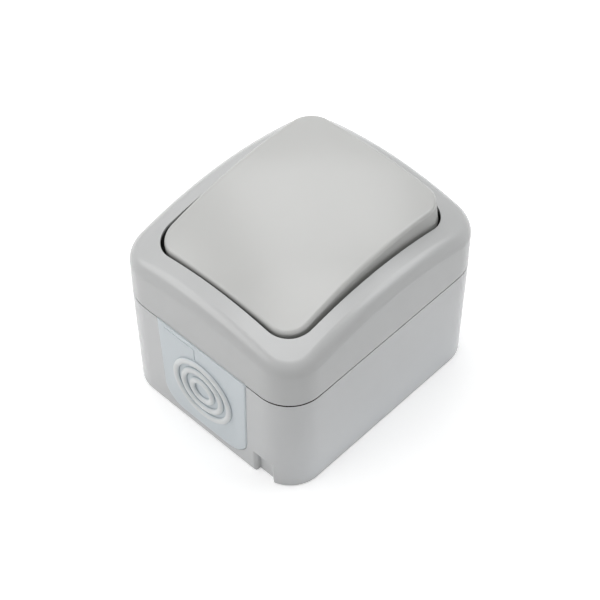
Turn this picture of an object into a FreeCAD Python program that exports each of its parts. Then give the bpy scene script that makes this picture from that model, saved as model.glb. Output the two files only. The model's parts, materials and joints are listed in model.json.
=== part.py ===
import FreeCAD, Part
import math
import os

from FreeCAD import Vector

# Outdoor weatherproof rocker switch for surface mounting, in millimetres.
# The origin is the middle of the back face. +Z points out of the wall, X is the width, and the
# cable comes in through the -Y side. The model is at rest with the rocker's -Y end pressed flush.

# Case
CASE_WIDTH = 66.0
CASE_LENGTH = 77.18
CORNER_RADIUS = 10.92
BOX_DEPTH = 37.3
BOX_DRAFT = 0.47
BOX_FOOT_CHAMFER = 0.4
WALL = 2.4
FLOOR = 2.4
SEAM_GAP = 0.5

# Rim, gasket and tongue between box and cover
REBATE_INSET = 1.2
REBATE_DEPTH = 1.6
GASKET_HEIGHT = 1.45
RIM_CLEARANCE = 0.1

# Cover
COVER_TOP = 61.16
CROWN_RADIUS_X = 105.4
CROWN_RADIUS_Y = 112.3
COVER_EDGE_ROUND = 4.7
RIM_WIDTH_X = 6.75
RIM_WIDTH_Y = 6.97
OPENING_RADIUS = 8.07
CROWN_THICKNESS = 3.2
WELL_WALL = 1.8
WELL_FLOOR = 1.8
WELL_CLEARANCE = 1.0
RIM_RIB = 1.2
RIM_RIB_SHARES = (-0.25, 0.0, 0.25)

# Rocker
ROCKER_RISE = 2.54
ROCKER_CROWN_X = 144.1
ROCKER_CROWN_Y = 118.2
ROCKER_GAP_X = 1.25
ROCKER_GAP_Y = 1.47
ROCKER_CORNER = 6.8
ROCKER_EDGE_ROUND = 1.3
ROCKER_WALL = 2.0
ROCKER_SKIRT = 13.2
ROCKER_DRAFT = 0.5
ROCKER_RIB = 1.2
ROCKER_RIB_SHARES = (0.2, 0.333)
ROCKER_TILT = 6.26
PIVOT_DROP = 8.8

# Bearing ears, trunnions and carrier
TRUNNION_RADIUS = 2.5
TRUNNION_FIT = 0.05
EAR_WALL = 1.65
EAR_THICKNESS = 2.5
EAR_SLOT = 3.6
CHEEK_GAP = 0.3
CHEEK_THICKNESS = 1.9
CARRIER_LENGTH = 16.0
CARRIER_PLATE = 2.0
CARRIER_PLATE_RISE = 5.1
BARREL_RADIUS = 4.2
BARREL_LENGTH = 16.4
CLIP_WIDTH = 6.0
CLIP_THICKNESS = 1.4
CLIP_BARB = 0.5
CLIP_CLEARANCE = 0.2

# Plunger and spring
PLUNGER_RADIUS = 2.2
PLUNGER_FIT = 0.08
PLUNGER_LENGTH = 15.5
PLUNGER_NOSE = 1.6
SPRING_WIRE = 0.3
SPRING_RADIUS = 1.6
SPRING_TURNS = 5
SPRING_SIDES = 5
BORE_DEPTH = 14.6

# Mechanism frame
FRAME_DROP = 4.3
FLANGE_THICKNESS = 2.0
FLANGE_LENGTH = 34.0
FLANGE_CLEARANCE = 0.9
FLANGE_CORNER = 3.0
NECK_WIDTH = 30.0
NECK_LENGTH = 24.0
NECK_CORNER = 3.0
NECK_WALL = 2.0
NECK_RISE = 2.8
NECK_CLEARANCE = 0.5
SEAL_THICKNESS = 2.2
PLUNGER_WINDOW_X = 9.0
PLUNGER_WINDOW_Y = 13.0

# Mechanism base
BASE_DEPTH = 20.0
BASE_WALL = 1.3
BASE_FLOOR = 2.0
BASE_CORNER = 1.6
CONTACT_ROOM = 1.6
SNAP_WIDTH = 6.0
SNAP_PLACE = 9.0
SNAP_LENGTH = 9.0
SNAP_THICKNESS = 1.2
SNAP_GAP = 0.2
CATCH_HEIGHT = 2.0

# Contacts
LEVER_DROP = 4.5
LEVER_HALF_LENGTH = 12.2
LEVER_WIDTH = 6.0
LEVER_THICKNESS = 1.2
LEVER_CORNER = 1.8
LEVER_SEAT = 1.1
LEVER_TILT = 5.0
KNIFE_RADIUS = 1.5
KNIFE_FIT = 0.05
PLUNGER_LIFT = 0.1
CONTACT_REACH = 10.2
CONTACT_RADIUS = 1.6
LEVER_CONTACT_FACE = 0.8
FIXED_CONTACT_FACE = 1.28
LEVER_CONTACT_HEIGHT = 0.9
FIXED_CONTACT_HEIGHT = 0.8
CONTACT_GAP = 0.1

# Terminals
STRIP_THICKNESS = 1.0
STRIP_WIDTH = 5.0
STRIP_BEND = 0.8
POST_THICKNESS = 1.5
TERMINAL_Y = -17.2
TERMINAL_PITCH = 10.5
CAGE_WIDTH = 7.0
CAGE_LENGTH = 6.0
CAGE_HEIGHT = 10.0
CAGE_WALL = 1.0
CAGE_CLEARANCE = 0.2
CLAMP_THICKNESS = 1.0
CLAMP_OPENING = 4.6
WIRE_FUNNEL = 4.5
TERMINAL_SCREW_RADIUS = 1.5
TERMINAL_HEAD_RADIUS = 2.2
TERMINAL_HEAD_HEIGHT = 2.0
TERMINAL_HEAD_LIFT = 1.0
DRIVER_HOLE_RADIUS = 2.4

# Screws and posts
POST_RADIUS = 3.6
POST_WEB = 1.4
POST_DROP = 1.43
WEB_DROP = 1.0
BORE_SPARE = 1.0
COVER_SCREW_INSET = 6.0
COVER_SCREW_RADIUS = 1.7
COVER_SCREW_LENGTH = 19.0
COVER_HEAD_RADIUS = 3.2
COVER_HEAD_HEIGHT = 2.3
SEAL_RING_HEIGHT = 0.8
BOSS_JOINT_GAP = 0.2
MECH_SCREW_INSET = 3.8
MECH_SCREW_RADIUS = 1.7
MECH_SCREW_LENGTH = 12.0
MECH_HEAD_RADIUS = 3.1
MECH_HEAD_HEIGHT = 2.3
SCREW_FIT = 0.05
SCREW_CLEARANCE = 0.3
DRIVE_WIDTH = 0.9
DRIVE_DEPTH = 1.3
DRIVE_SHARE = 0.62
SCREW_TIP_SHARE = 0.3
HEAD_CHAMFER_SHARE = 0.2

# Wall fixing slots and the cable side
FIXING_INSET = 10.09
FIXING_SLOT_WIDTH = 4.4
FIXING_SLOT_LENGTH = 8.0
KNOCKOUT_RADIUS = 10.0
KNOCKOUT_DEPTH = 1.2
KNOCKOUT_HEIGHT = 19.0
NOTCH_START = 19.0
NOTCH_WIDTH = 6.6
NOTCH_HEIGHT = 8.4
NOTCH_DEPTH = 1.8
NOTCH_LIP = 1.2
NOTCH_LIP_PROUD = 0.06
NOTCH_TOP_ROUND = 0.7

# Cable membrane
MEMBRANE_TOP_WIDTH = 33.4
MEMBRANE_FOOT_WIDTH = 31.4
MEMBRANE_FOOT = 2.95
MEMBRANE_CORNER = 7.5
MEMBRANE_PROUD = 0.35
MEMBRANE_EDGE_ROUND = 0.6
MEMBRANE_FIT = 0.1
MEMBRANE_TOP_GAP = 0.03
SLOT_DEEPER = 0.2
MEMBRANE_FLANGE = 2.5
MEMBRANE_FLANGE_THICKNESS = 1.8
RING_RADII = (3.75, 7.1, 10.15)
RING_HALF_WIDTH = 1.0
RING_HEIGHT = 1.0
RING_CENTRE_Z = 20.1
GROOVE_WIDTH = 0.3
GROOVE_DEPTH = 0.2
GROOVE_LEFT = -14.0
GROOVE_RIGHT = -2.3
GROOVE_TOP_Z = 36.0
GROOVE_LOW_Z = 31.4
GUIDE_RIB = 1.4
GUIDE_LIP = 1.6
GUIDE_DROP = 2.0
GUIDE_CLEARANCE = 0.25

# Heights and half sizes that follow from the values above
rim_z = BOX_DEPTH - SEAM_GAP / 2
cover_z = BOX_DEPTH + SEAM_GAP / 2
rebate_z = rim_z - REBATE_DEPTH
tongue_z = rebate_z + GASKET_HEIGHT
opening_width = CASE_WIDTH - 2 * RIM_WIDTH_X
opening_length = CASE_LENGTH - 2 * RIM_WIDTH_Y
rocker_top = COVER_TOP + ROCKER_RISE
rocker_width = opening_width - 2 * ROCKER_GAP_X
rocker_length = opening_length - 2 * ROCKER_GAP_Y
skirt_z = rocker_top - ROCKER_SKIRT
pivot_z = rocker_top - PIVOT_DROP
tilt = math.radians(ROCKER_TILT)
skirt_half = rocker_length / 2 + ROCKER_DRAFT
pressed_skirt_z = pivot_z - skirt_half * math.sin(tilt) - (pivot_z - skirt_z) * math.cos(tilt)
well_top = pressed_skirt_z - WELL_CLEARANCE
well_bottom = well_top - WELL_FLOOR
flange_bottom = BOX_DEPTH - FRAME_DROP
flange_top = flange_bottom + FLANGE_THICKNESS
flange_half = CASE_WIDTH / 2 - BOX_DRAFT - WALL - FLANGE_CLEARANCE
neck_top = well_top + NECK_RISE
base_bottom = flange_bottom - BASE_DEPTH
base_floor_z = base_bottom + BASE_FLOOR
ear_inside = NECK_WIDTH / 2 - EAR_THICKNESS
ear_radius = TRUNNION_RADIUS + TRUNNION_FIT + EAR_WALL
plate_z = pivot_z + CARRIER_PLATE_RISE
cheek_outside = ear_inside - CHEEK_GAP
bore_radius = PLUNGER_RADIUS + PLUNGER_FIT
barrel_z = pivot_z - BARREL_LENGTH
bore_top = barrel_z + BORE_DEPTH
lever_z = flange_bottom - LEVER_DROP
lever_top = LEVER_SEAT + LEVER_THICKNESS
plunger_tip_z = lever_z + lever_top + PLUNGER_LIFT
plunger_top_z = plunger_tip_z + PLUNGER_LENGTH
strip_z = base_floor_z + CAGE_WALL
cover_screw_x = opening_width / 2 - COVER_SCREW_INSET
cover_screw_y = opening_length / 2 - COVER_SCREW_INSET
cover_head_z = well_top - SCREW_CLEARANCE - COVER_HEAD_HEIGHT
mech_screw_x = flange_half - MECH_SCREW_INSET
post_top = rim_z - POST_DROP
lever_tilt = math.radians(LEVER_TILT)
contact_low = (lever_z + (LEVER_SEAT - LEVER_CONTACT_HEIGHT) * math.cos(lever_tilt)
               - (CONTACT_REACH + CONTACT_RADIUS / 2) * math.sin(lever_tilt))
fixed_contact_top = contact_low - CONTACT_GAP
fixed_strip_top = fixed_contact_top - FIXED_CONTACT_HEIGHT
ledge_top = fixed_strip_top - STRIP_THICKNESS
drop_y = TERMINAL_Y + CAGE_LENGTH / 2 + CAGE_CLEARANCE
ledge_y = drop_y + STRIP_THICKNESS
cage_inside_top = base_floor_z + CAGE_HEIGHT - CAGE_WALL
clamp_z = strip_z + STRIP_THICKNESS + CLAMP_OPENING
base_half_x = TERMINAL_PITCH + CAGE_WIDTH / 2 + CAGE_CLEARANCE + BASE_WALL
base_front = TERMINAL_Y - CAGE_LENGTH / 2 - CAGE_CLEARANCE - BASE_WALL
base_back = LEVER_HALF_LENGTH + CONTACT_ROOM + BASE_WALL
cover_screw_places = [(sx * cover_screw_x, sy * cover_screw_y) for sx in (-1, 1) for sy in (-1, 1)]
mech_screw_places = [(-mech_screw_x, 0.0), (mech_screw_x, 0.0)]
snap_places = [(side, y) for side in (-1, 1) for y in (-SNAP_PLACE, SNAP_PLACE)]
terminal_places = [(-TERMINAL_PITCH, TERMINAL_Y), (0.0, TERMINAL_Y), (TERMINAL_PITCH, TERMINAL_Y)]

# How far cutting tools and joined blocks reach past a face, and when two heights count as one
OVERSHOOT = 1.0
TOUCH = 0.01
UP = Vector(0, 0, 1)


def outline(width, length, radius, z):
    """Closed wire of a rounded rectangle centred on the Z axis."""
    hx = width / 2
    hy = length / 2
    cut = radius * (1 - math.sqrt(0.5))
    lines = [
        (Vector(-hx + radius, -hy, z), Vector(hx - radius, -hy, z)),
        (Vector(hx, -hy + radius, z), Vector(hx, hy - radius, z)),
        (Vector(hx - radius, hy, z), Vector(-hx + radius, hy, z)),
        (Vector(-hx, hy - radius, z), Vector(-hx, -hy + radius, z)),
    ]
    middles = [
        Vector(hx - cut, -hy + cut, z),
        Vector(hx - cut, hy - cut, z),
        Vector(-hx + cut, hy - cut, z),
        Vector(-hx + cut, -hy + cut, z),
    ]
    edges = []
    for index, (start, end) in enumerate(lines):
        following = lines[(index + 1) % 4][0]
        edges.append(Part.makeLine(start, end))
        edges.append(Part.Arc(end, middles[index], following).toShape())
    return Part.Wire(edges)


def prism(width, length, radius, low, high):
    """Upright rounded-rectangle block."""
    face = Part.Face(outline(width, length, radius, low))
    return face.extrude(Vector(0, 0, high - low))


def case_block(inset, low, high):
    """Block with the case's outline, moved in by inset."""
    return prism(CASE_WIDTH - 2 * inset, CASE_LENGTH - 2 * inset, CORNER_RADIUS - inset, low, high)


def box_block(inset, low, high):
    """Block with the back box's drafted walls, moved in by inset."""
    wires = []
    for z in (low, high):
        shrink = inset + BOX_DRAFT * (1 - z / BOX_DEPTH)
        wires.append(outline(CASE_WIDTH - 2 * shrink, CASE_LENGTH - 2 * shrink,
                             CORNER_RADIUS - shrink, z))
    return Part.makeLoft(wires, True, True)


def block(x0, x1, y0, y1, z0, z1):
    """Plain box between two corners."""
    return Part.makeBox(x1 - x0, y1 - y0, z1 - z0, Vector(x0, y0, z0))


def rod(x, y, radius, low, high):
    """Upright cylinder."""
    return Part.makeCylinder(radius, high - low, Vector(x, y, low), UP)


def fuse(shapes):
    """One clean solid from shapes that touch."""
    whole = shapes[0].multiFuse(shapes[1:])
    return whole.removeSplitter()


def neck_block(grow, low, high):
    """Block with the outline of the mechanism's neck, grown all round."""
    return prism(NECK_WIDTH + 2 * grow, NECK_LENGTH + 2 * grow, NECK_CORNER + grow, low, high)


def above_crown(top, radius_x, radius_y):
    """Everything above a crowned surface that falls away from top with the two radii."""
    reach = CASE_WIDTH + CASE_LENGTH
    half = reach / 2
    fall_x = half * half / (2 * radius_x)
    fall_y = half * half / (2 * radius_y)
    poles = []
    for x, share_x in ((-half, -1), (0, 1), (half, -1)):
        row = []
        for y, share_y in ((-half, -1), (0, 1), (half, -1)):
            row.append(Vector(x, y, top + share_x * fall_x + share_y * fall_y))
        poles.append(row)
    surface = Part.BSplineSurface()
    surface.buildFromPolesMultsKnots(poles, [3, 3], [3, 3], [0, 1], [0, 1], False, False, 2, 2)
    return surface.toShape().extrude(Vector(0, 0, reach))


def edges_above(solid, z):
    """Edges that lie wholly above a height."""
    return [edge for edge in solid.Edges if edge.BoundBox.ZMin > z]


def turned(shape, degrees):
    """Copy of a neutral shape turned about the rocker's pivot."""
    copy = shape.copy()
    copy.rotate(Vector(0, 0, pivot_z), Vector(1, 0, 0), degrees)
    return copy


def screw(x, y, radius, length, head_radius, head_height, head_z):
    """Cheese-head screw with a crossed drive; head_z is the underside of the head."""
    shank = rod(x, y, radius, head_z - length + radius, head_z)
    point = Part.makeCone(radius * SCREW_TIP_SHARE, radius, radius, Vector(x, y, head_z - length), UP)
    head = rod(x, y, head_radius, head_z, head_z + head_height)
    rim = [edge for edge in head.Edges if edge.BoundBox.ZMin > head_z + head_height / 2]
    head = head.makeChamfer(head_height * HEAD_CHAMFER_SHARE, rim)
    top = head_z + head_height
    reach = head_radius * DRIVE_SHARE
    body = fuse([shank, point, head])
    for half_x, half_y in ((reach, DRIVE_WIDTH / 2), (DRIVE_WIDTH / 2, reach)):
        body = body.cut(block(x - half_x, x + half_x, y - half_y, y + half_y,
                              top - DRIVE_DEPTH, top + OVERSHOOT))
    return body


def membrane_profile(grow, foot, top, back, front):
    """U-shaped plug across the cable side; grow widens it, back and front are its Y faces."""
    half_foot = MEMBRANE_FOOT_WIDTH / 2 + grow
    half_top = MEMBRANE_TOP_WIDTH / 2 + grow
    slope = (half_top - half_foot) / (BOX_DEPTH - MEMBRANE_FOOT)
    wide = half_foot + slope * (top - MEMBRANE_FOOT)
    corners = [
        Vector(-half_foot, front, foot),
        Vector(half_foot, front, foot),
        Vector(wide, front, top),
        Vector(-wide, front, top),
    ]
    face = Part.Face(Part.makePolygon(corners + corners[:1]))
    solid = face.extrude(Vector(0, back - front, 0))
    lower = [edge for edge in solid.Edges
             if edge.BoundBox.ZMax < foot + TOUCH and edge.BoundBox.YLength > TOUCH]
    return solid.makeFillet(MEMBRANE_CORNER + grow, lower)


def lean(shape):
    """Tip a shape built on an upright cable side onto the drafted wall."""
    copy = shape.copy()
    angle = math.degrees(math.atan2(BOX_DRAFT, BOX_DEPTH))
    copy.rotate(Vector(0, -CASE_LENGTH / 2, BOX_DEPTH), Vector(1, 0, 0), angle)
    return copy


wall_outside = -CASE_LENGTH / 2
wall_inside = wall_outside + WALL
flange_back = wall_inside + MEMBRANE_FLANGE_THICKNESS


def back_box():
    outside = box_block(0, 0, rim_z)
    foot = [edge for edge in outside.Edges if edge.BoundBox.ZMax < TOUCH]
    outside = outside.makeChamfer(BOX_FOOT_CHAMFER, foot)
    inside = box_block(WALL, FLOOR, BOX_DEPTH)
    shell = outside.cut(inside)

    # Posts for the cover screws, webbed to the walls, and for the mechanism
    solids = [shell]
    cover_posts = []
    for x, y in cover_screw_places:
        sign_x = math.copysign(1, x)
        sign_y = math.copysign(1, y)
        cover_posts.append(rod(x, y, POST_RADIUS, FLOOR - OVERSHOOT, post_top))
        web_y = sorted((y, sign_y * CASE_LENGTH / 2))
        web_x = sorted((x, sign_x * CASE_WIDTH / 2))
        cover_posts.append(block(web_x[0], web_x[1], y - POST_WEB / 2, y + POST_WEB / 2,
                                 FLOOR - OVERSHOOT, flange_bottom - WEB_DROP))
        if sign_y > 0:
            cover_posts.append(block(x - POST_WEB / 2, x + POST_WEB / 2, web_y[0], web_y[1],
                                     FLOOR - OVERSHOOT, flange_bottom - WEB_DROP))
    mech_posts = []
    for x, y in mech_screw_places:
        side = sorted((x, math.copysign(CASE_WIDTH / 2, x)))
        mech_posts.append(rod(x, y, POST_RADIUS, FLOOR - OVERSHOOT, flange_bottom))
        mech_posts.append(block(side[0], side[1], -POST_WEB / 2, POST_WEB / 2,
                                FLOOR - OVERSHOOT, flange_bottom - WEB_DROP))
    room = box_block(WALL / 2, FLOOR / 2, BOX_DEPTH)
    for piece in cover_posts + mech_posts:
        solids.append(piece.common(room))

    # Guide ribs that hold the membrane's flange against the wall
    rib_inner = MEMBRANE_TOP_WIDTH / 2 + MEMBRANE_FLANGE + GUIDE_CLEARANCE
    lip_y = flange_back + GUIDE_CLEARANCE + BOX_DRAFT
    for side in (-1, 1):
        rib = sorted((side * rib_inner, side * (rib_inner + GUIDE_RIB)))
        lip = sorted((side * (rib_inner - GUIDE_LIP), side * (rib_inner + GUIDE_RIB)))
        top = rebate_z - GUIDE_DROP
        ribs = [block(rib[0], rib[1], wall_inside - OVERSHOOT, lip_y + GUIDE_RIB, FLOOR - OVERSHOOT, top),
                block(lip[0], lip[1], lip_y, lip_y + GUIDE_RIB, FLOOR - OVERSHOOT, top)]
        solids += [piece.common(room) for piece in ribs]
    box = fuse(solids)

    # Rebate of the rim for the gasket
    box = box.cut(case_block(REBATE_INSET, rebate_z, BOX_DEPTH + OVERSHOOT))

    # Pilot bores of the posts
    for x, y in cover_screw_places:
        end = cover_head_z - COVER_SCREW_LENGTH - BORE_SPARE
        box = box.cut(rod(x, y, COVER_SCREW_RADIUS + SCREW_FIT, end, BOX_DEPTH))
    for x, y in mech_screw_places:
        end = flange_top - MECH_SCREW_LENGTH - BORE_SPARE
        box = box.cut(rod(x, y, MECH_SCREW_RADIUS + SCREW_FIT, end, BOX_DEPTH))

    # Slot of the cable membrane
    slot = membrane_profile(MEMBRANE_FIT, MEMBRANE_FOOT - MEMBRANE_FIT, BOX_DEPTH + OVERSHOOT,
                            wall_inside + SLOT_DEEPER, wall_outside - OVERSHOOT)
    box = box.cut(lean(slot))

    # Wall fixing slots, one at each end of the floor
    half = FIXING_SLOT_WIDTH / 2
    reach = FIXING_SLOT_LENGTH / 2 - half
    fixing_y = CASE_LENGTH / 2 - FIXING_INSET
    for y in (-fixing_y, fixing_y):
        box = box.cut(fuse([block(-half, half, y - reach, y + reach, -OVERSHOOT, FLOOR + OVERSHOOT),
                            rod(0, y - reach, half, -OVERSHOOT, FLOOR + OVERSHOOT),
                            rod(0, y + reach, half, -OVERSHOOT, FLOOR + OVERSHOOT)]))

    # Knock-out thinned from inside in the wall across from the membrane
    knockout = Part.makeCylinder(KNOCKOUT_RADIUS, KNOCKOUT_DEPTH + OVERSHOOT,
                                 Vector(0, CASE_LENGTH / 2 - BOX_DRAFT - WALL - OVERSHOOT, KNOCKOUT_HEIGHT),
                                 Vector(0, 1, 0))
    box = box.cut(knockout)

    # Finger notch at the foot of the cable side
    box = box.cut(notch())
    ceiling = [edge for edge in box.Edges
               if abs(edge.BoundBox.ZMin - NOTCH_HEIGHT) < NOTCH_LIP / 2
               and edge.BoundBox.ZLength < NOTCH_LIP / 2
               and edge.BoundBox.XMin > NOTCH_START - NOTCH_LIP
               and edge.BoundBox.YMax < wall_outside + NOTCH_DEPTH / 2]
    return box.makeFillet(NOTCH_TOP_ROUND, ceiling)


def notch():
    """Shallow recess at the foot of the wall, with a rounded lip at its start and a ramp at its end."""
    floor_y = wall_outside + NOTCH_DEPTH
    end = NOTCH_START + NOTCH_WIDTH
    outside_y = wall_outside - OVERSHOOT
    lip_x = NOTCH_START - NOTCH_LIP
    lip_y = wall_outside - NOTCH_LIP_PROUD
    slant = NOTCH_LIP * math.sqrt(0.5)
    low = -OVERSHOOT
    lip_end = Vector(NOTCH_START, lip_y + NOTCH_LIP, low)
    lip = Part.Arc(Vector(lip_x, lip_y, low),
                   Vector(lip_x + slant, lip_y + NOTCH_LIP - slant, low), lip_end)
    corners = [
        lip_end,
        Vector(NOTCH_START, floor_y, low),
        Vector(end - NOTCH_DEPTH, floor_y, low),
        Vector(end + NOTCH_DEPTH, outside_y, low),
        Vector(lip_x, outside_y, low),
        Vector(lip_x, lip_y, low),
    ]
    edges = [lip.toShape()]
    for start, stop in zip(corners, corners[1:]):
        edges.append(Part.makeLine(start, stop))
    face = Part.Face(Part.Wire(edges))
    return lean(face.extrude(Vector(0, 0, NOTCH_HEIGHT + OVERSHOOT)))


def ring_ridge(radius):
    """One raised, rounded ring of the membrane that marks a cable size."""
    face_y = wall_outside - MEMBRANE_PROUD
    root_y = face_y + MEMBRANE_PROUD
    inner = Vector(radius - RING_HALF_WIDTH, face_y, RING_CENTRE_Z)
    outer = Vector(radius + RING_HALF_WIDTH, face_y, RING_CENTRE_Z)
    crest = Part.Arc(inner, Vector(radius, face_y - RING_HEIGHT, RING_CENTRE_Z), outer)
    corners = [
        outer,
        Vector(radius + RING_HALF_WIDTH, root_y, RING_CENTRE_Z),
        Vector(radius - RING_HALF_WIDTH, root_y, RING_CENTRE_Z),
        inner,
    ]
    edges = [crest.toShape()]
    for start, stop in zip(corners, corners[1:]):
        edges.append(Part.makeLine(start, stop))
    face = Part.Face(Part.Wire(edges))
    return face.revolve(Vector(0, 0, RING_CENTRE_Z), Vector(0, 1, 0), 360)


def cable_membrane():
    plug_top = cover_z - MEMBRANE_TOP_GAP
    face_y = wall_outside - MEMBRANE_PROUD
    plug = membrane_profile(0, MEMBRANE_FOOT, plug_top, wall_inside, face_y)
    rim = [edge for edge in plug.Edges
           if edge.BoundBox.YMax < wall_outside and edge.BoundBox.ZMin < plug_top - TOUCH]
    plug = plug.makeFillet(MEMBRANE_EDGE_ROUND, rim)
    flange_foot = FLOOR + MEMBRANE_FIT
    flange = membrane_profile(MEMBRANE_FLANGE, flange_foot, rebate_z, flange_back, wall_inside)
    rings = [ring_ridge(radius) for radius in RING_RADII]
    whole = fuse([plug, flange] + rings)

    # Angled groove above the rings
    groove_y = face_y + GROOVE_DEPTH
    level = block(GROOVE_LEFT, GROOVE_RIGHT, face_y - OVERSHOOT, groove_y,
                  GROOVE_TOP_Z - GROOVE_WIDTH, GROOVE_TOP_Z)
    upright = block(GROOVE_RIGHT - GROOVE_WIDTH, GROOVE_RIGHT, face_y - OVERSHOOT, groove_y,
                    GROOVE_LOW_Z, GROOVE_TOP_Z)
    whole = whole.cut(fuse([level, upright]))
    return lean(whole).cut(case_block(REBATE_INSET, rebate_z, BOX_DEPTH + OVERSHOOT))


def cover_gasket():
    outside = case_block(REBATE_INSET + RIM_CLEARANCE, rebate_z, tongue_z)
    return outside.cut(case_block(WALL, rebate_z - OVERSHOOT, tongue_z + OVERSHOOT))


def cover():
    outside = case_block(0, cover_z, COVER_TOP + OVERSHOOT)
    outside = outside.cut(above_crown(COVER_TOP, CROWN_RADIUS_X, CROWN_RADIUS_Y))
    outside = outside.makeFillet(COVER_EDGE_ROUND, edges_above(outside, cover_z + OVERSHOOT))

    # Well of the rocker
    well = prism(opening_width, opening_length, OPENING_RADIUS, well_top, COVER_TOP + OVERSHOOT)
    shell = outside.cut(well)

    # Room under the well floor, and the hollow between the outer wall and the well
    shell = shell.cut(case_block(WALL, cover_z - OVERSHOOT, well_bottom))
    hollow = case_block(WALL, well_bottom - OVERSHOOT, COVER_TOP)
    hollow = hollow.cut(above_crown(COVER_TOP - CROWN_THICKNESS, CROWN_RADIUS_X, CROWN_RADIUS_Y))
    hollow = hollow.cut(prism(opening_width + 2 * WELL_WALL, opening_length + 2 * WELL_WALL,
                              OPENING_RADIUS + WELL_WALL, well_bottom - 2 * OVERSHOOT,
                              COVER_TOP + OVERSHOOT))
    for share in RIM_RIB_SHARES:
        x = share * opening_width
        y = share * opening_length
        hollow = hollow.cut(block(x - RIM_RIB / 2, x + RIM_RIB / 2, -CASE_LENGTH, CASE_LENGTH,
                                  well_bottom, COVER_TOP))
        hollow = hollow.cut(block(-CASE_WIDTH, CASE_WIDTH, y - RIM_RIB / 2, y + RIM_RIB / 2,
                                  well_bottom, COVER_TOP))
    shell = shell.cut(hollow)

    # Tongue over the gasket
    tongue = case_block(REBATE_INSET + RIM_CLEARANCE, tongue_z, cover_z + OVERSHOOT)
    tongue = tongue.cut(case_block(WALL, tongue_z - OVERSHOOT, cover_z + 2 * OVERSHOOT))

    # Screw bosses that meet the posts of the box
    bosses = [rod(x, y, POST_RADIUS, post_top + BOSS_JOINT_GAP, well_top)
              for x, y in cover_screw_places]
    whole = fuse([shell, tongue] + bosses)
    seat_z = cover_head_z - SEAL_RING_HEIGHT
    for x, y in cover_screw_places:
        whole = whole.cut(rod(x, y, COVER_SCREW_RADIUS + SCREW_CLEARANCE, post_top, COVER_TOP))
        whole = whole.cut(rod(x, y, COVER_HEAD_RADIUS + SCREW_CLEARANCE, seat_z, COVER_TOP))

    # Window for the mechanism's neck
    return whole.cut(neck_block(NECK_CLEARANCE, well_bottom - OVERSHOOT, well_top + OVERSHOOT))


def cover_screws():
    return [screw(x, y, COVER_SCREW_RADIUS, COVER_SCREW_LENGTH, COVER_HEAD_RADIUS,
                  COVER_HEAD_HEIGHT, cover_head_z) for x, y in cover_screw_places]


def cover_screw_seals():
    low = cover_head_z - SEAL_RING_HEIGHT
    rings = []
    for x, y in cover_screw_places:
        ring = rod(x, y, COVER_HEAD_RADIUS, low, cover_head_z)
        rings.append(ring.cut(rod(x, y, COVER_SCREW_RADIUS + SCREW_FIT, low - OVERSHOOT,
                                  cover_head_z + OVERSHOOT)))
    return rings


def neck_seal():
    outside = neck_block(SEAL_THICKNESS, flange_top, well_bottom)
    return outside.cut(neck_block(0, flange_top - OVERSHOOT, well_bottom + OVERSHOOT))


def mech_frame():
    flange = prism(2 * flange_half, FLANGE_LENGTH, FLANGE_CORNER, flange_bottom, flange_top)
    apron = block(-base_half_x, base_half_x, base_front, 0, flange_bottom, flange_top)
    whole = fuse([flange, apron, neck_block(0, flange_bottom, neck_top)])
    whole = whole.cut(neck_block(-NECK_WALL, flange_top, neck_top + OVERSHOOT))
    whole = whole.cut(block(-PLUNGER_WINDOW_X / 2, PLUNGER_WINDOW_X / 2, -PLUNGER_WINDOW_Y / 2,
                            PLUNGER_WINDOW_Y / 2, flange_bottom - OVERSHOOT, flange_top + OVERSHOOT))

    # Bearing ears with bores open to a snap-in slot, each on a gusset inside the neck
    ears = []
    for side in (-1, 1):
        span = sorted((side * ear_inside, side * NECK_WIDTH / 2))
        upright = block(span[0], span[1], -ear_radius, ear_radius, flange_top - OVERSHOOT, pivot_z)
        crown = Part.makeCylinder(ear_radius, EAR_THICKNESS, Vector(span[0], 0, pivot_z),
                                  Vector(1, 0, 0))
        ears += [upright, crown]
    whole = fuse([whole] + ears)
    bore = Part.makeCylinder(TRUNNION_RADIUS + TRUNNION_FIT, 2 * NECK_WIDTH,
                             Vector(-NECK_WIDTH, 0, pivot_z), Vector(1, 0, 0))
    slot = block(-NECK_WIDTH, NECK_WIDTH, -EAR_SLOT / 2, EAR_SLOT / 2, pivot_z, pivot_z + 2 * ear_radius)
    whole = whole.cut(bore).cut(slot)

    # Snap arms down the sides of the base, each with a window for the base's catch
    arms = []
    for side, y in snap_places:
        inside_x = base_half_x + SNAP_GAP
        span = sorted((side * inside_x, side * (inside_x + SNAP_THICKNESS)))
        arm = block(span[0], span[1], y - SNAP_WIDTH / 2, y + SNAP_WIDTH / 2,
                    flange_bottom - SNAP_LENGTH, flange_bottom + OVERSHOOT)
        window_low = flange_bottom - SNAP_LENGTH + 2 * SNAP_THICKNESS
        arms.append(arm.cut(block(span[0] - OVERSHOOT, span[1] + OVERSHOOT, y - SNAP_WIDTH / 4,
                                  y + SNAP_WIDTH / 4, window_low,
                                  window_low + CATCH_HEIGHT + SNAP_GAP)))
    whole = fuse([whole] + arms)

    # Holes for the mounting screws and for the driver over each terminal
    for x, y in mech_screw_places:
        whole = whole.cut(rod(x, y, MECH_SCREW_RADIUS + SCREW_CLEARANCE, flange_bottom - OVERSHOOT,
                              flange_top + OVERSHOOT))
    for x, y in terminal_places:
        whole = whole.cut(rod(x, y, DRIVER_HOLE_RADIUS, flange_bottom - OVERSHOOT, flange_top + OVERSHOOT))
    return whole


def mech_screws():
    return [screw(x, y, MECH_SCREW_RADIUS, MECH_SCREW_LENGTH, MECH_HEAD_RADIUS, MECH_HEAD_HEIGHT,
                  flange_top) for x, y in mech_screw_places]


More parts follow.
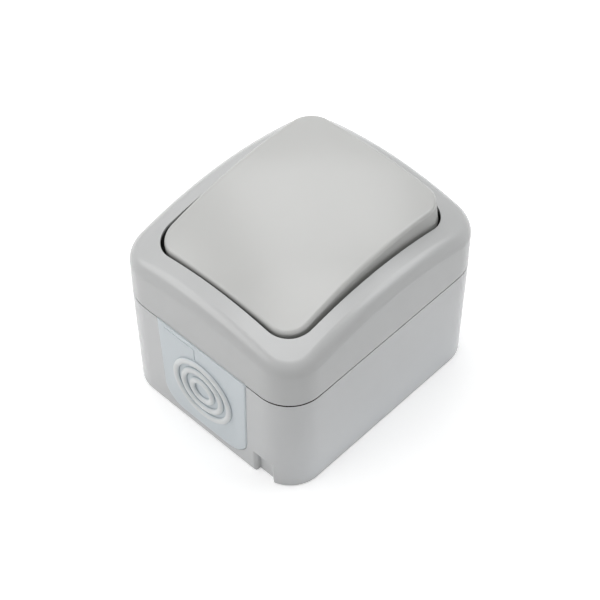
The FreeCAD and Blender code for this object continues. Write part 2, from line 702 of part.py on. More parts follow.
def mech_base():
    length = base_back - base_front
    middle = (base_back + base_front) / 2
    outside = prism(2 * base_half_x, length, BASE_CORNER, base_bottom, flange_bottom)
    inside = prism(2 * (base_half_x - BASE_WALL), length - 2 * BASE_WALL, BASE_CORNER - BASE_WALL,
                   base_floor_z, flange_bottom + OVERSHOOT)
    outside.translate(Vector(0, middle, 0))
    inside.translate(Vector(0, middle, 0))
    tub = outside.cut(inside)
    inner_x = base_half_x - BASE_WALL / 2
    strip_inner = TERMINAL_PITCH - STRIP_WIDTH / 2

    # Ledges under the two throw strips and their contacts
    reach = CONTACT_REACH + STRIP_WIDTH / 2
    solids = [
        tub,
        block(-inner_x, -strip_inner, ledge_y, reach, base_bottom + OVERSHOOT, ledge_top),
        block(strip_inner, inner_x, ledge_y, -CONTACT_REACH + STRIP_WIDTH / 2, base_bottom + OVERSHOOT,
              ledge_top),
        block(-inner_x, LEVER_WIDTH / 2, CONTACT_REACH - STRIP_WIDTH / 2, reach, base_bottom + OVERSHOOT,
              ledge_top),
        block(-LEVER_WIDTH / 2, inner_x, -reach, -CONTACT_REACH + STRIP_WIDTH / 2,
              base_bottom + OVERSHOOT, ledge_top),
    ]

    # Ribs between the terminal cages
    gap = TERMINAL_PITCH / 2
    for x in (-gap, gap):
        solids.append(block(x - BASE_WALL / 2, x + BASE_WALL / 2, base_front + BASE_WALL / 2,
                            ledge_y, base_bottom + OVERSHOOT, ledge_top))

    # Pads under the common strip, and catches for the snap arms
    solids.append(block(-STRIP_WIDTH / 2, STRIP_WIDTH / 2, -CONTACT_REACH, STRIP_WIDTH / 2,
                        base_bottom + OVERSHOOT, strip_z))
    catch_low = flange_bottom - SNAP_LENGTH + 2 * SNAP_THICKNESS + SNAP_GAP / 2
    for side, y in snap_places:
        corners = [
            Vector(side * (base_half_x - BASE_WALL / 2), 0, catch_low),
            Vector(side * (base_half_x + SNAP_GAP), 0, catch_low),
            Vector(side * (base_half_x + SNAP_THICKNESS), 0, catch_low + CATCH_HEIGHT),
            Vector(side * (base_half_x - BASE_WALL / 2), 0, catch_low + CATCH_HEIGHT),
        ]
        face = Part.Face(Part.makePolygon(corners + corners[:1]))
        catch = face.extrude(Vector(0, SNAP_WIDTH / 2 - 2 * SNAP_GAP, 0))
        catch.translate(Vector(0, y - SNAP_WIDTH / 4 + SNAP_GAP, 0))
        solids.append(catch)
    base = fuse(solids)

    # Channel of the common strip and the wire funnels
    channel = STRIP_WIDTH / 2 + CAGE_CLEARANCE
    base = base.cut(block(-channel, channel, ledge_y - CAGE_CLEARANCE, channel, strip_z,
                          strip_z + STRIP_THICKNESS + CAGE_CLEARANCE))
    wire_z = strip_z + STRIP_THICKNESS + WIRE_FUNNEL / 2
    for x, y in terminal_places:
        base = base.cut(Part.makeCylinder(WIRE_FUNNEL / 2, BASE_WALL + 2 * OVERSHOOT,
                                          Vector(x, base_front - OVERSHOOT, wire_z), Vector(0, 1, 0)))
    return base


def common_terminal():
    strip = block(-STRIP_WIDTH / 2, STRIP_WIDTH / 2, TERMINAL_Y - CAGE_LENGTH / 2,
                  STRIP_WIDTH / 2, strip_z, strip_z + STRIP_THICKNESS)
    upright = block(-LEVER_WIDTH / 2, LEVER_WIDTH / 2, -POST_THICKNESS / 2, POST_THICKNESS / 2,
                    strip_z + STRIP_THICKNESS / 2, lever_z)
    upright = upright.cut(block(-LEVER_WIDTH, -STRIP_WIDTH / 2, -POST_THICKNESS, POST_THICKNESS,
                                strip_z, strip_z + STRIP_THICKNESS + OVERSHOOT))
    upright = upright.cut(block(STRIP_WIDTH / 2, LEVER_WIDTH, -POST_THICKNESS, POST_THICKNESS,
                                strip_z, strip_z + STRIP_THICKNESS + OVERSHOOT))
    bead = Part.makeCylinder(KNIFE_RADIUS, LEVER_WIDTH, Vector(-LEVER_WIDTH / 2, 0, lever_z),
                             Vector(1, 0, 0))
    return fuse([strip, upright, bead])


def throw_terminal(side):
    """Strip from a fixed contact to an outer terminal; side is -1 for the left, 1 for the right."""
    contact_y = -side * CONTACT_REACH
    half = STRIP_WIDTH / 2
    ends = sorted((side * (TERMINAL_PITCH + half), -side * LEVER_WIDTH / 2))
    along = sorted((side * (TERMINAL_PITCH - half), side * (TERMINAL_PITCH + half)))
    arm = block(ends[0], ends[1], contact_y - half, contact_y + half, ledge_top, fixed_strip_top)
    run = block(along[0], along[1], drop_y, contact_y + half, ledge_top, fixed_strip_top)
    leg = block(along[0], along[1], drop_y, ledge_y, strip_z, fixed_strip_top)
    tail = block(along[0], along[1], TERMINAL_Y - CAGE_LENGTH / 2, ledge_y, strip_z,
                 strip_z + STRIP_THICKNESS)
    strip = fuse([arm, run, leg, tail])
    bend = [edge for edge in strip.Edges
            if edge.BoundBox.YMax < drop_y + TOUCH and edge.BoundBox.YMin > drop_y - TOUCH
            and edge.BoundBox.ZMin > fixed_strip_top - TOUCH]
    return strip.makeFillet(STRIP_BEND, bend)


def fixed_contacts():
    return [Part.makeCone(CONTACT_RADIUS, FIXED_CONTACT_FACE, FIXED_CONTACT_HEIGHT,
                          Vector(0, y, fixed_strip_top), UP)
            for y in (-CONTACT_REACH, CONTACT_REACH)]


def terminal_cages():
    cages = []
    for x, y in terminal_places:
        cage = block(x - CAGE_WIDTH / 2, x + CAGE_WIDTH / 2, y - CAGE_LENGTH / 2,
                     y + CAGE_LENGTH / 2, base_floor_z, base_floor_z + CAGE_HEIGHT)
        hole = block(x - CAGE_WIDTH / 2 + CAGE_WALL, x + CAGE_WIDTH / 2 - CAGE_WALL,
                     y - CAGE_LENGTH, y + CAGE_LENGTH, strip_z, cage_inside_top)
        thread = rod(x, y, TERMINAL_SCREW_RADIUS + SCREW_FIT, cage_inside_top - OVERSHOOT,
                     cage_inside_top + CAGE_WALL + OVERSHOOT)
        cages.append(cage.cut(hole).cut(thread))
    return cages


def terminal_clamps():
    half = CAGE_WIDTH / 2 - CAGE_WALL - CAGE_CLEARANCE
    return [block(x - half, x + half, y - CAGE_LENGTH / 2, y + CAGE_LENGTH / 2, clamp_z,
                  clamp_z + CLAMP_THICKNESS) for x, y in terminal_places]


def terminal_screws():
    screws = []
    head_z = base_floor_z + CAGE_HEIGHT + TERMINAL_HEAD_LIFT
    for x, y in terminal_places:
        shank = rod(x, y, TERMINAL_SCREW_RADIUS, clamp_z + CLAMP_THICKNESS, head_z)
        head = rod(x, y, TERMINAL_HEAD_RADIUS, head_z, head_z + TERMINAL_HEAD_HEIGHT)
        slot = block(x - TERMINAL_HEAD_RADIUS, x + TERMINAL_HEAD_RADIUS, y - DRIVE_WIDTH / 2,
                     y + DRIVE_WIDTH / 2, head_z + TERMINAL_HEAD_HEIGHT / 2,
                     head_z + TERMINAL_HEAD_HEIGHT + OVERSHOOT)
        screws.append(fuse([shank, head]).cut(slot))
    return screws


def lever_turned(shape):
    """Copy of a level lever piece tipped to its rest."""
    copy = shape.copy()
    copy.rotate(Vector(0, 0, lever_z), Vector(1, 0, 0), -LEVER_TILT)
    return copy


def contact_lever():
    half = LEVER_WIDTH / 2
    strip = block(-half, half, -LEVER_HALF_LENGTH, LEVER_HALF_LENGTH, lever_z + LEVER_SEAT,
                  lever_z + lever_top)
    ends = [edge for edge in strip.Edges
            if edge.BoundBox.ZLength > LEVER_THICKNESS - TOUCH]
    strip = strip.makeFillet(LEVER_CORNER, ends)
    groove = Part.makeCylinder(KNIFE_RADIUS + KNIFE_FIT, 2 * LEVER_WIDTH,
                               Vector(-LEVER_WIDTH, 0, lever_z), Vector(1, 0, 0))
    return lever_turned(strip.cut(groove))


def lever_contacts():
    low = lever_z + LEVER_SEAT - LEVER_CONTACT_HEIGHT
    return [lever_turned(Part.makeCone(LEVER_CONTACT_FACE, CONTACT_RADIUS, LEVER_CONTACT_HEIGHT,
                                       Vector(0, y, low), UP))
            for y in (-CONTACT_REACH, CONTACT_REACH)]


def clip_places():
    """Inner and outer Y of the rocker's snap legs, on the side of +Y."""
    inner = BARREL_RADIUS + 2 * CLIP_CLEARANCE + CLIP_BARB
    return inner, inner + CLIP_THICKNESS


def rocker_carrier():
    half_length = CARRIER_LENGTH / 2
    plate = block(-cheek_outside, cheek_outside, -half_length, half_length,
                  plate_z - CARRIER_PLATE, plate_z)
    solids = [plate, rod(0, 0, BARREL_RADIUS, barrel_z, plate_z - CARRIER_PLATE + OVERSHOOT / 2)]
    for side in (-1, 1):
        span = sorted((side * cheek_outside, side * (cheek_outside - CHEEK_THICKNESS)))
        solids.append(block(span[0], span[1], -ear_radius, ear_radius, pivot_z - TRUNNION_RADIUS,
                            plate_z - CARRIER_PLATE / 2))
        web = sorted((0.0, side * cheek_outside))
        solids.append(block(web[0], web[1], -POST_WEB / 2, POST_WEB / 2,
                            pivot_z - 2 * TRUNNION_RADIUS, plate_z - CARRIER_PLATE / 2))
    solids.append(Part.makeCylinder(TRUNNION_RADIUS, NECK_WIDTH, Vector(-NECK_WIDTH / 2, 0, pivot_z),
                                    Vector(1, 0, 0)))
    carrier = fuse(solids)
    carrier = carrier.cut(rod(0, 0, bore_radius, barrel_z - OVERSHOOT, bore_top))
    inner, outer = clip_places()
    half = CLIP_WIDTH / 2 + CLIP_CLEARANCE
    for side in (-1, 1):
        span = sorted((side * (inner - CLIP_CLEARANCE), side * (outer + CLIP_BARB + CLIP_CLEARANCE)))
        carrier = carrier.cut(block(-half, half, span[0], span[1], plate_z - CARRIER_PLATE - OVERSHOOT,
                                    plate_z + OVERSHOOT))
    return turned(carrier, ROCKER_TILT)


def rocker_block(inset, low, top):
    """Drafted and crowned block of the rocker, moved in by inset."""
    wires = []
    for z in (low, rocker_top + OVERSHOOT):
        grow = ROCKER_DRAFT * (rocker_top - z) / ROCKER_SKIRT - inset
        wires.append(outline(rocker_width + 2 * grow, rocker_length + 2 * grow,
                             ROCKER_CORNER + grow, z))
    solid = Part.makeLoft(wires, True, True)
    return solid.cut(above_crown(top, ROCKER_CROWN_X, ROCKER_CROWN_Y))


def rocker():
    outside = rocker_block(0, skirt_z, rocker_top)
    outside = outside.makeFillet(ROCKER_EDGE_ROUND, edges_above(outside, skirt_z + OVERSHOOT))
    inside = rocker_block(ROCKER_WALL, skirt_z - OVERSHOOT, rocker_top - ROCKER_WALL)
    shell = outside.cut(inside)

    # Ribs under the crown, cut back where the carrier's plate seats
    rib_low = pivot_z + ear_radius - EAR_WALL
    half_x = rocker_width / 2 - ROCKER_WALL / 2
    half_y = rocker_length / 2 - ROCKER_WALL / 2
    rib_x = cheek_outside - 2 * CHEEK_THICKNESS
    ribs = []
    for x in (-rib_x, rib_x):
        ribs.append(block(x - ROCKER_RIB / 2, x + ROCKER_RIB / 2, -half_y, half_y, rib_low, rocker_top))
    rib_y = [sign * share * rocker_length for sign in (-1, 1) for share in ROCKER_RIB_SHARES]
    for y in rib_y:
        ribs.append(block(-half_x, half_x, y - ROCKER_RIB / 2, y + ROCKER_RIB / 2, rib_low, rocker_top))
    seat_half = CARRIER_LENGTH / 2 + CLIP_CLEARANCE
    seat = block(-cheek_outside - CLIP_CLEARANCE, cheek_outside + CLIP_CLEARANCE, -seat_half,
                 seat_half, skirt_z, plate_z)
    body_room = rocker_block(ROCKER_WALL / 2, skirt_z, rocker_top - ROCKER_WALL / 2)
    solids = [shell] + [rib.cut(seat).common(body_room) for rib in ribs]

    # Snap legs through the carrier's plate
    inner, outer = clip_places()
    barb_z = plate_z - CARRIER_PLATE - CLIP_CLEARANCE
    for side in (-1, 1):
        corners = [
            Vector(-CLIP_WIDTH / 2, side * inner, rocker_top - ROCKER_WALL / 2 - OVERSHOOT / 2),
            Vector(-CLIP_WIDTH / 2, side * outer, rocker_top - ROCKER_WALL / 2 - OVERSHOOT / 2),
            Vector(-CLIP_WIDTH / 2, side * outer, barb_z),
            Vector(-CLIP_WIDTH / 2, side * (outer + CLIP_BARB), barb_z),
            Vector(-CLIP_WIDTH / 2, side * outer, barb_z - CLIP_THICKNESS),
            Vector(-CLIP_WIDTH / 2, side * inner, barb_z - CLIP_THICKNESS),
        ]
        face = Part.Face(Part.makePolygon(corners + corners[:1]))
        solids.append(face.extrude(Vector(CLIP_WIDTH, 0, 0)))
    return turned(fuse(solids), ROCKER_TILT)


def plunger():
    nose = Part.makeSphere(PLUNGER_NOSE, Vector(0, 0, plunger_tip_z + PLUNGER_NOSE))
    neck_z = plunger_tip_z + PLUNGER_NOSE
    shoulder = PLUNGER_RADIUS - PLUNGER_NOSE
    neck = rod(0, 0, PLUNGER_NOSE, neck_z, neck_z + PLUNGER_NOSE)
    cone = Part.makeCone(PLUNGER_NOSE, PLUNGER_RADIUS, shoulder, Vector(0, 0, neck_z + PLUNGER_NOSE), UP)
    body = rod(0, 0, PLUNGER_RADIUS, neck_z + PLUNGER_NOSE + shoulder, plunger_top_z)
    return turned(fuse([nose, neck, cone, body]), ROCKER_TILT)


def plunger_spring():
    low = plunger_top_z + SPRING_WIRE
    height = bore_top - plunger_top_z - 2 * SPRING_WIRE
    helix = Part.makeHelix(height / SPRING_TURNS, height, SPRING_RADIUS)
    helix.translate(Vector(0, 0, low))
    corners = []
    for index in range(SPRING_SIDES):
        angle = 2 * math.pi * index / SPRING_SIDES
        corners.append(Vector(SPRING_RADIUS + SPRING_WIRE * math.cos(angle), 0,
                              low + SPRING_WIRE * math.sin(angle)))
    section = Part.makePolygon(corners + corners[:1])
    coil = Part.Wire(helix.Edges).makePipeShell([section], True, True)
    return turned(coil, ROCKER_TILT)


def save(node, shapes):
    """Write one node; a list becomes a group of separate solids."""
    if not isinstance(shapes, list):
        shapes = [shapes]
    solids = []
    for shape in shapes:
        solids += shape.Solids
    for solid in solids:
        if not solid.isValid():
            print("not valid:", node)
    whole = solids[0] if len(solids) == 1 else Part.makeCompound(solids)
    whole.exportStep("parts/" + node + ".step")
    print(node, len(solids), round(sum(solid.Volume for solid in solids), 1))


def main():
    os.makedirs("parts", exist_ok=True)
    save("back_box", back_box())
    save("cable_membrane", cable_membrane())
    save("cover_gasket", cover_gasket())
    save("cover", cover())
    save("cover_screws", cover_screws())
    save("cover_screw_seals", cover_screw_seals())
    save("neck_seal", neck_seal())
    save("mech_frame", mech_frame())
    save("mech_screws", mech_screws())
    save("mech_base", mech_base())
    save("common_terminal", common_terminal())
    save("left_throw_terminal", throw_terminal(-1))
    save("right_throw_terminal", throw_terminal(1))
    save("fixed_contacts", fixed_contacts())
    save("terminal_cages", terminal_cages())
    save("terminal_clamps", terminal_clamps())
    save("terminal_screws", terminal_screws())
    save("contact_lever", contact_lever())
    save("lever_contacts", lever_contacts())
    save("rocker_carrier", rocker_carrier())
    save("rocker", rocker())
    save("plunger", plunger())
    save("plunger_spring", plunger_spring())


main()
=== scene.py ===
import json
import math

import bpy
from mathutils import Matrix, Vector


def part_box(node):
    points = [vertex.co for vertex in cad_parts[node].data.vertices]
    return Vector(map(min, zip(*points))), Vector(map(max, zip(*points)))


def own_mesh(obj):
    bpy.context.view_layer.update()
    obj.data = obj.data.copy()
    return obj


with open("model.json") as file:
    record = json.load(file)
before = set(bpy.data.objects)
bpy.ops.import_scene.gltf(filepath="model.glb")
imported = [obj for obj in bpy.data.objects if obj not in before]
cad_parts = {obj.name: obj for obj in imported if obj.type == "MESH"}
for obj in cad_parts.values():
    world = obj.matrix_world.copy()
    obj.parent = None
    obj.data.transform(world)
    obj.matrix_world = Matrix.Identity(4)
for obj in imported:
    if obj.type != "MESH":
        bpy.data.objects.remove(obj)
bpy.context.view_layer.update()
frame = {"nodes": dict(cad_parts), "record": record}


# Node helpers

def empty_tree(tree):
    """The nodes and links of a node tree, emptied."""
    tree.nodes.clear()
    return tree.nodes, tree.links


def object_place(nodes):
    """The place on the object, in its own coordinates, in metres."""
    return nodes.new("ShaderNodeTexCoord").outputs["Object"]


def vector_math(nodes, links, operation, first, second=None):
    """Vector node whose second input is a socket, a plain vector or unused."""
    node = nodes.new("ShaderNodeVectorMath")
    node.operation = operation
    links.new(first, node.inputs[0])
    if isinstance(second, tuple):
        node.inputs[1].default_value = second
    elif second is not None:
        links.new(second, node.inputs[1])
    number = operation in ("DOT_PRODUCT", "DISTANCE", "LENGTH")
    return node.outputs["Value" if number else "Vector"]


def math_node(nodes, links, operation, first, second):
    """Number node whose second input is a socket or a plain number."""
    node = nodes.new("ShaderNodeMath")
    node.operation = operation
    links.new(first, node.inputs[0])
    if isinstance(second, float):
        node.inputs[1].default_value = second
    else:
        links.new(second, node.inputs[1])
    return node.outputs["Value"]


def axes_of(nodes, links, vector):
    """The three numbers of a vector, by the names X, Y and Z."""
    axes = nodes.new("ShaderNodeSeparateXYZ")
    links.new(vector, axes.inputs["Vector"])
    return axes.outputs


def span_map(nodes, links, value, start, end, low, high):
    """Number mapped evenly from start to end onto low to high."""
    span = nodes.new("ShaderNodeMapRange")
    span.inputs["From Min"].default_value = start
    span.inputs["From Max"].default_value = end
    span.inputs["To Min"].default_value = low
    span.inputs["To Max"].default_value = high
    links.new(value, span.inputs["Value"])
    return span.outputs["Result"]


def rise(nodes, links, value, start, end):
    """Zero at start, one at end, eased between."""
    span = nodes.new("ShaderNodeMapRange")
    span.interpolation_type = "SMOOTHSTEP"
    span.inputs["From Min"].default_value = start
    span.inputs["From Max"].default_value = end
    links.new(value, span.inputs["Value"])
    return span.outputs["Result"]


# Moulded, stamped and turned surfaces

EVEN = (1.0, 1.0, 1.0)
NOISE_LOW = 0.3
NOISE_HIGH = 0.7
CLOUD_SCALE = 38.0
CLOUD_DETAIL = 3.0
GLOSS_SCALE = 152.0
GLOSS_DETAIL = 2.0
GRAIN_SCALE = 420.0
GRAIN_DETAIL = 1.0
GRAIN_STRENGTH = 0.6
PLAIN_SPECULAR = 0.5


def noise(nodes, links, scale, detail, stretch):
    """Noise in the object's own coordinates."""
    mapping = nodes.new("ShaderNodeMapping")
    mapping.inputs["Scale"].default_value = stretch
    texture = nodes.new("ShaderNodeTexNoise")
    texture.inputs["Scale"].default_value = scale
    texture.inputs["Detail"].default_value = detail
    links.new(object_place(nodes), mapping.inputs["Vector"])
    links.new(mapping.outputs["Vector"], texture.inputs["Vector"])
    return texture.outputs["Fac"]


def tinted(nodes, links, surface, second, mask):
    """Colour that turns into a second one where the mask is one."""
    mix = nodes.new("ShaderNodeMix")
    mix.data_type = "RGBA"
    sockets = {socket.identifier: socket for socket in mix.inputs}
    links.new(mask(nodes, links), sockets["Factor_Float"])
    links.new(surface, sockets["A_Color"])
    sockets["B_Color"].default_value = [*second, 1]
    return next(socket for socket in mix.outputs if socket.identifier == "Result_Color")


def moulded(name, color, vary, rough, grain, specular=PLAIN_SPECULAR, metallic=0.0,
            stretch=EVEN, tints=()):
    """Surface with clouded colour, uneven gloss and a fine grain.

    vary is the share by which the colour drifts, rough its lowest and highest roughness, and
    grain the height of the grain in metres. tints are further colours, each with the function
    that makes its mask."""
    material = bpy.data.materials.new(name)
    material.use_nodes = True
    nodes, links = empty_tree(material.node_tree)
    output = nodes.new("ShaderNodeOutputMaterial")
    shader = nodes.new("ShaderNodeBsdfPrincipled")
    links.new(shader.outputs["BSDF"], output.inputs["Surface"])

    ramp = nodes.new("ShaderNodeValToRGB")
    dark, pale = ramp.color_ramp.elements
    dark.position = NOISE_LOW
    pale.position = NOISE_HIGH
    dark.color = [c * (1 - vary) for c in color] + [1]
    pale.color = [min(1.0, c * (1 + vary)) for c in color] + [1]
    links.new(noise(nodes, links, CLOUD_SCALE, CLOUD_DETAIL, stretch), ramp.inputs["Fac"])
    surface = ramp.outputs["Color"]
    for second, mask in tints:
        surface = tinted(nodes, links, surface, second, mask)
    links.new(surface, shader.inputs["Base Color"])

    gloss = noise(nodes, links, GLOSS_SCALE, GLOSS_DETAIL, stretch)
    links.new(span_map(nodes, links, gloss, NOISE_LOW, NOISE_HIGH, *rough),
              shader.inputs["Roughness"])

    bump = nodes.new("ShaderNodeBump")
    bump.inputs["Strength"].default_value = GRAIN_STRENGTH
    bump.inputs["Distance"].default_value = grain
    links.new(noise(nodes, links, GRAIN_SCALE, GRAIN_DETAIL, stretch), bump.inputs["Height"])
    links.new(bump.outputs["Normal"], shader.inputs["Normal"])
    shader.inputs["Specular IOR Level"].default_value = specular
    shader.inputs["Metallic"].default_value = metallic
    return material


# Painted shade on the wall of the cover's well, darkening it in metres below the crown

CROWN_TOP = 0.06116
CROWN_RADIUS_X = 0.1054
CROWN_RADIUS_Y = 0.1123
CROWN_BEND = (1 / (2 * CROWN_RADIUS_X), 1 / (2 * CROWN_RADIUS_Y), 0.0)
WELL_HALF = (0.02715, 0.0325, 1.0)
WELL_SHADE_START = 0.0003
WELL_SHADE_END = 0.0016
WELL_SHADE_COLOR = (0.05, 0.047, 0.045)


def well_painted_shade(nodes, links):
    """Painted shade: one deep down in the well round the rocker, zero elsewhere on the cover."""
    place = object_place(nodes)
    squares = vector_math(nodes, links, "MULTIPLY", place, place)
    drop = vector_math(nodes, links, "DOT_PRODUCT", squares, CROWN_BEND)
    height = math_node(nodes, links, "ADD", drop, axes_of(nodes, links, place)["Z"])
    deep = rise(nodes, links, height, CROWN_TOP - WELL_SHADE_START, CROWN_TOP - WELL_SHADE_END)
    share = vector_math(nodes, links, "DIVIDE", place, WELL_HALF)
    size = axes_of(nodes, links, vector_math(nodes, links, "ABSOLUTE", share))
    widest = math_node(nodes, links, "MAXIMUM", size["X"], size["Y"])
    inside = math_node(nodes, links, "LESS_THAN", widest, 1.0)
    return math_node(nodes, links, "MULTIPLY", deep, inside)


# Masks for the rings of the membrane, in metres out from its flat face: a painted highlight on
# their crests and painted shade at their feet

MEMBRANE_LEAN = (0.0, -1.0, -0.0126)
MEMBRANE_FACE = 0.03847
CREST_START = 0.0001
CREST_FULL = 0.0008
FOOT_FULL = 0.00006
FOOT_END = 0.00045
CREST_HIGHLIGHT_COLOR = (0.79, 0.81, 0.81)
# Painted shade in the grooves at the rings' feet
FOOT_SHADE_COLOR = (0.42, 0.45, 0.48)


def ring_height(nodes, links):
    """How far a point of the membrane lies outside the middle of the case."""
    return vector_math(nodes, links, "DOT_PRODUCT", object_place(nodes), MEMBRANE_LEAN)


def ring_crest_painted_highlight(nodes, links):
    """Painted highlight: one on the crests of the membrane's rings, zero on its flat face."""
    return rise(nodes, links, ring_height(nodes, links), MEMBRANE_FACE + CREST_START,
                MEMBRANE_FACE + CREST_FULL)


def ring_foot_painted_shade(nodes, links):
    """Painted shade: one at the foot of each ring's flank, zero on the flat face and on the
    crests.
    """
    height = ring_height(nodes, links)
    start = rise(nodes, links, height, MEMBRANE_FACE, MEMBRANE_FACE + FOOT_FULL)
    end = rise(nodes, links, height, MEMBRANE_FACE + FOOT_END, MEMBRANE_FACE + CREST_START)
    return math_node(nodes, links, "MULTIPLY", start, end)


# Painted shade for the box's rim in the seam between box and cover, in metres from the corner by
# the notch

RIM_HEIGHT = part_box("back_box")[1].z
RIM_SKIN = 0.00004
LEVEL = (1.0, 1.0, 0.0)
SEAM_CORNER = (0.0305, -0.0345, 0.0)
SEAM_DARK = 0.004
SEAM_PALE = 0.020
SEAM_SHADE_COLOR = (0.05, 0.04, 0.033)


def seam_painted_shade(nodes, links):
    """Painted shade: one on the box's rim under the cover, by the corner next to the notch,
    fading along it.
    """
    place = object_place(nodes)
    height = axes_of(nodes, links, place)["Z"]
    top = math_node(nodes, links, "GREATER_THAN", height, RIM_HEIGHT - RIM_SKIN)
    flat = vector_math(nodes, links, "MULTIPLY", place, LEVEL)
    away = vector_math(nodes, links, "DISTANCE", flat, SEAM_CORNER)
    near = rise(nodes, links, away, SEAM_PALE, SEAM_DARK)
    return math_node(nodes, links, "MULTIPLY", top, near)


# Materials of the record's slots, with a slightly lighter one for the box, whose lighter grey is
# painted light thrown up from the floor

SATIN = {"rough": (0.22, 0.265), "grain": 2e-6, "specular": 0.7}
METAL = {"grain": 3e-6, "metallic": 1.0}
STAMPED_STRETCH = (1.0, 0.08, 1.0)
materials = {
    "housing_grey": moulded("cover_plastic", color=(0.548, 0.554, 0.553), vary=0.012,
                            tints=[(WELL_SHADE_COLOR, well_painted_shade)], **SATIN),
    "rocker_grey": moulded("rocker_plastic", color=(0.552, 0.554, 0.541), vary=0.016, **SATIN),
    "membrane_rubber": moulded("membrane_rubber", color=(0.672, 0.726, 0.757), vary=0.015,
                               rough=(0.30, 0.38), grain=3e-6, specular=0.6,
                               tints=[(CREST_HIGHLIGHT_COLOR, ring_crest_painted_highlight), (FOOT_SHADE_COLOR, ring_foot_painted_shade)]),
    "seal_rubber": moulded("seal_rubber", color=(0.035, 0.035, 0.038), vary=0.1,
                           rough=(0.6, 0.75), grain=8e-6),
    "mechanism_plastic": moulded("mechanism_plastic", color=(0.66, 0.66, 0.64), vary=0.02,
                                 rough=(0.42, 0.55), grain=5e-6),
    "slide_plastic": moulded("slide_plastic", color=(0.78, 0.77, 0.72), vary=0.02,
                             rough=(0.3, 0.4), grain=3e-6),
    "terminal_brass": moulded("terminal_brass", color=(0.78, 0.6, 0.3), vary=0.06,
                              rough=(0.28, 0.38), stretch=STAMPED_STRETCH, **METAL),
    "screw_steel": moulded("screw_steel", color=(0.6, 0.61, 0.62), vary=0.05,
                           rough=(0.28, 0.42), **METAL),
    "contact_silver": moulded("contact_silver", color=(0.82, 0.81, 0.78), vary=0.05,
                              rough=(0.3, 0.42), **METAL),
}
# The box's lighter grey is painted light from the floor; its seam tint is painted shade
box_plastic_painted_light = moulded("box_plastic_painted_light", color=(0.606, 0.613, 0.617), vary=0.012,
                      tints=[(SEAM_SHADE_COLOR, seam_painted_shade)], **SATIN)
slot_of = {row["node"]: row["material_slot"] for row in frame["record"]["subparts"]}
for node, thing in frame["nodes"].items():
    thing.data.materials.clear()
    thing.data.materials.append(box_plastic_painted_light if node == "back_box" else materials[slot_of[node]])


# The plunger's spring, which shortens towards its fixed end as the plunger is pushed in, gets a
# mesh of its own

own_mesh(frame["nodes"]["plunger_spring"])


# Floor and world: white where they are seen, dimmer where they light things

FLOOR_HALF = 1.5
FLOOR_COLOR = (0.94, 0.94, 0.94, 1)
FLOOR_LIFT = 0.36
FAR_LIFT = 0.75
LIFT_START = 0.12
LIFT_END = 0.5
WORLD_LIGHT = 0.264
WHITE = (1.0, 1.0, 1.0, 1.0)


def seen_rays(nodes, links):
    """One for camera, glossy and transmission rays, zero for the rays that light things."""
    path = nodes.new("ShaderNodeLightPath").outputs
    seen = math_node(nodes, links, "MAXIMUM", path["Is Camera Ray"], path["Is Glossy Ray"])
    return math_node(nodes, links, "MAXIMUM", seen, path["Is Transmission Ray"])


mesh = bpy.data.meshes.new("floor")
corners = [(-FLOOR_HALF, -FLOOR_HALF, 0), (FLOOR_HALF, -FLOOR_HALF, 0),
           (FLOOR_HALF, FLOOR_HALF, 0), (-FLOOR_HALF, FLOOR_HALF, 0)]
mesh.from_pydata(corners, [], [(0, 1, 2, 3)])
floor = bpy.data.objects.new("floor", mesh)
bpy.context.scene.collection.objects.link(floor)
material = bpy.data.materials.new("floor")
material.use_nodes = True
nodes, links = empty_tree(material.node_tree)
output = nodes.new("ShaderNodeOutputMaterial")
both = nodes.new("ShaderNodeAddShader")
diffuse = nodes.new("ShaderNodeBsdfDiffuse")
diffuse.inputs["Color"].default_value = FLOOR_COLOR
glow = nodes.new("ShaderNodeEmission")
reach = vector_math(nodes, links, "LENGTH", object_place(nodes))
lift = span_map(nodes, links, reach, LIFT_START, LIFT_END, FLOOR_LIFT, FAR_LIFT)
strength = math_node(nodes, links, "MULTIPLY", lift, seen_rays(nodes, links))
links.new(strength, glow.inputs["Strength"])
links.new(diffuse.outputs["BSDF"], both.inputs[0])
links.new(glow.outputs["Emission"], both.inputs[1])
links.new(both.outputs["Shader"], output.inputs["Surface"])
mesh.materials.append(material)

world = bpy.data.worlds.new("studio")
bpy.context.scene.world = world
world.use_nodes = True
nodes, links = empty_tree(world.node_tree)
output = nodes.new("ShaderNodeOutputWorld")
sky = nodes.new("ShaderNodeBackground")
sky.inputs["Color"].default_value = WHITE
level = span_map(nodes, links, seen_rays(nodes, links), 0, 1, WORLD_LIGHT, 1)
links.new(level, sky.inputs["Strength"])
links.new(sky.outputs["Background"], output.inputs["Surface"])


# Lamps: name, azimuth and height in degrees, width and length in metres, radiance, colour

NEUTRAL = (1.0, 1.0, 1.0)
COOL = (0.975, 0.988, 1.0)
LAMPS = [
    ("lamp_top", 215.0, 86.0, 0.62, 0.62, 2.3, NEUTRAL),
    ("lamp_left", 228.0, 40.0, 1.25, 0.72, 1.74, NEUTRAL),
    ("lamp_right", 58.0, 49.5, 0.72, 0.62, 2.2, COOL),
    ("lamp_back", 138.0, 56.0, 0.8, 0.7, 1.65, NEUTRAL),
]
LAMP_DISTANCE = 1.2
AIM = Vector((0, 0, 0.03))


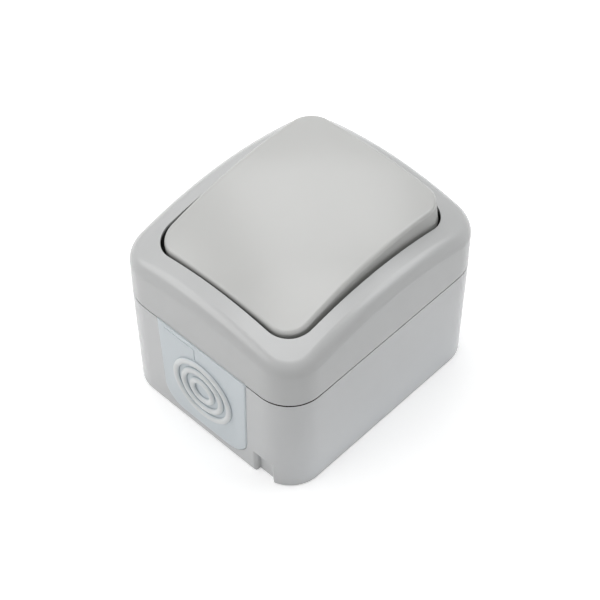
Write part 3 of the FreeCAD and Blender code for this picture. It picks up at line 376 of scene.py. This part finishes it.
def area_lamp(name, width, length, radiance, color):
    """A rectangular lamp of one radiance that the camera doesn't see."""
    lamp = bpy.data.lights.new(name, "AREA")
    lamp.shape = "RECTANGLE"
    lamp.size = width
    lamp.size_y = length
    lamp.energy = radiance * math.pi * width * length
    lamp.color = color
    thing = bpy.data.objects.new(name, lamp)
    bpy.context.scene.collection.objects.link(thing)
    thing.visible_camera = False
    return thing


for name, azimuth, height, width, length, radiance, color in LAMPS:
    lamp = area_lamp(name, width, length, radiance, color)
    turned = math.radians(azimuth)
    raised = math.radians(height)
    way = Vector((math.cos(turned) * math.cos(raised), math.sin(turned) * math.cos(raised),
                  math.sin(raised)))
    lamp.location = AIM + way * LAMP_DISTANCE
    lamp.rotation_euler = way.to_track_quat("Z", "Y").to_euler()


# A small card on the floor by the right wall, for the light a bright table throws up

CARD_SIZE = (0.03, 0.095)
CARD_PLACE = (0.0485, 0.0025, 0.0005)
CARD_RADIANCE = 0.34
CARD_COLOR = (0.84, 0.92, 1.0)
card = area_lamp("card_right", *CARD_SIZE, CARD_RADIANCE, CARD_COLOR)
card.location = CARD_PLACE
card.rotation_euler = (math.pi, 0, 0)
card.visible_glossy = False


# Camera, from the picture's perspective, with its lens in millimetres

AZIMUTH = math.radians(43.86)
ELEVATION = math.radians(50.37)
ROLL = math.radians(-0.23)
CAMERA_PLACE = (0.23472, -0.24485, 0.43430)
SENSOR = 36.0
FOCAL = 114.31
CLIP_START = 0.01
CLIP_END = 20.0
back = Vector((math.sin(AZIMUTH) * math.cos(ELEVATION), -math.cos(AZIMUTH) * math.cos(ELEVATION),
               math.sin(ELEVATION)))
level_right = Vector((math.cos(AZIMUTH), math.sin(AZIMUTH), 0))
level_up = back.cross(level_right)
right = level_right * math.cos(ROLL) + level_up * math.sin(ROLL)
up = level_up * math.cos(ROLL) - level_right * math.sin(ROLL)
camera_data = bpy.data.cameras.new("camera")
camera_data.sensor_width = SENSOR
camera_data.lens = FOCAL
camera_data.clip_start = CLIP_START
camera_data.clip_end = CLIP_END
camera = bpy.data.objects.new("camera", camera_data)
bpy.context.scene.collection.objects.link(camera)
facing = Matrix((right, up, back)).transposed().to_4x4()
camera.matrix_world = Matrix.Translation(CAMERA_PLACE) @ facing
bpy.context.scene.camera = camera
bpy.context.scene.view_settings.view_transform = "Standard"
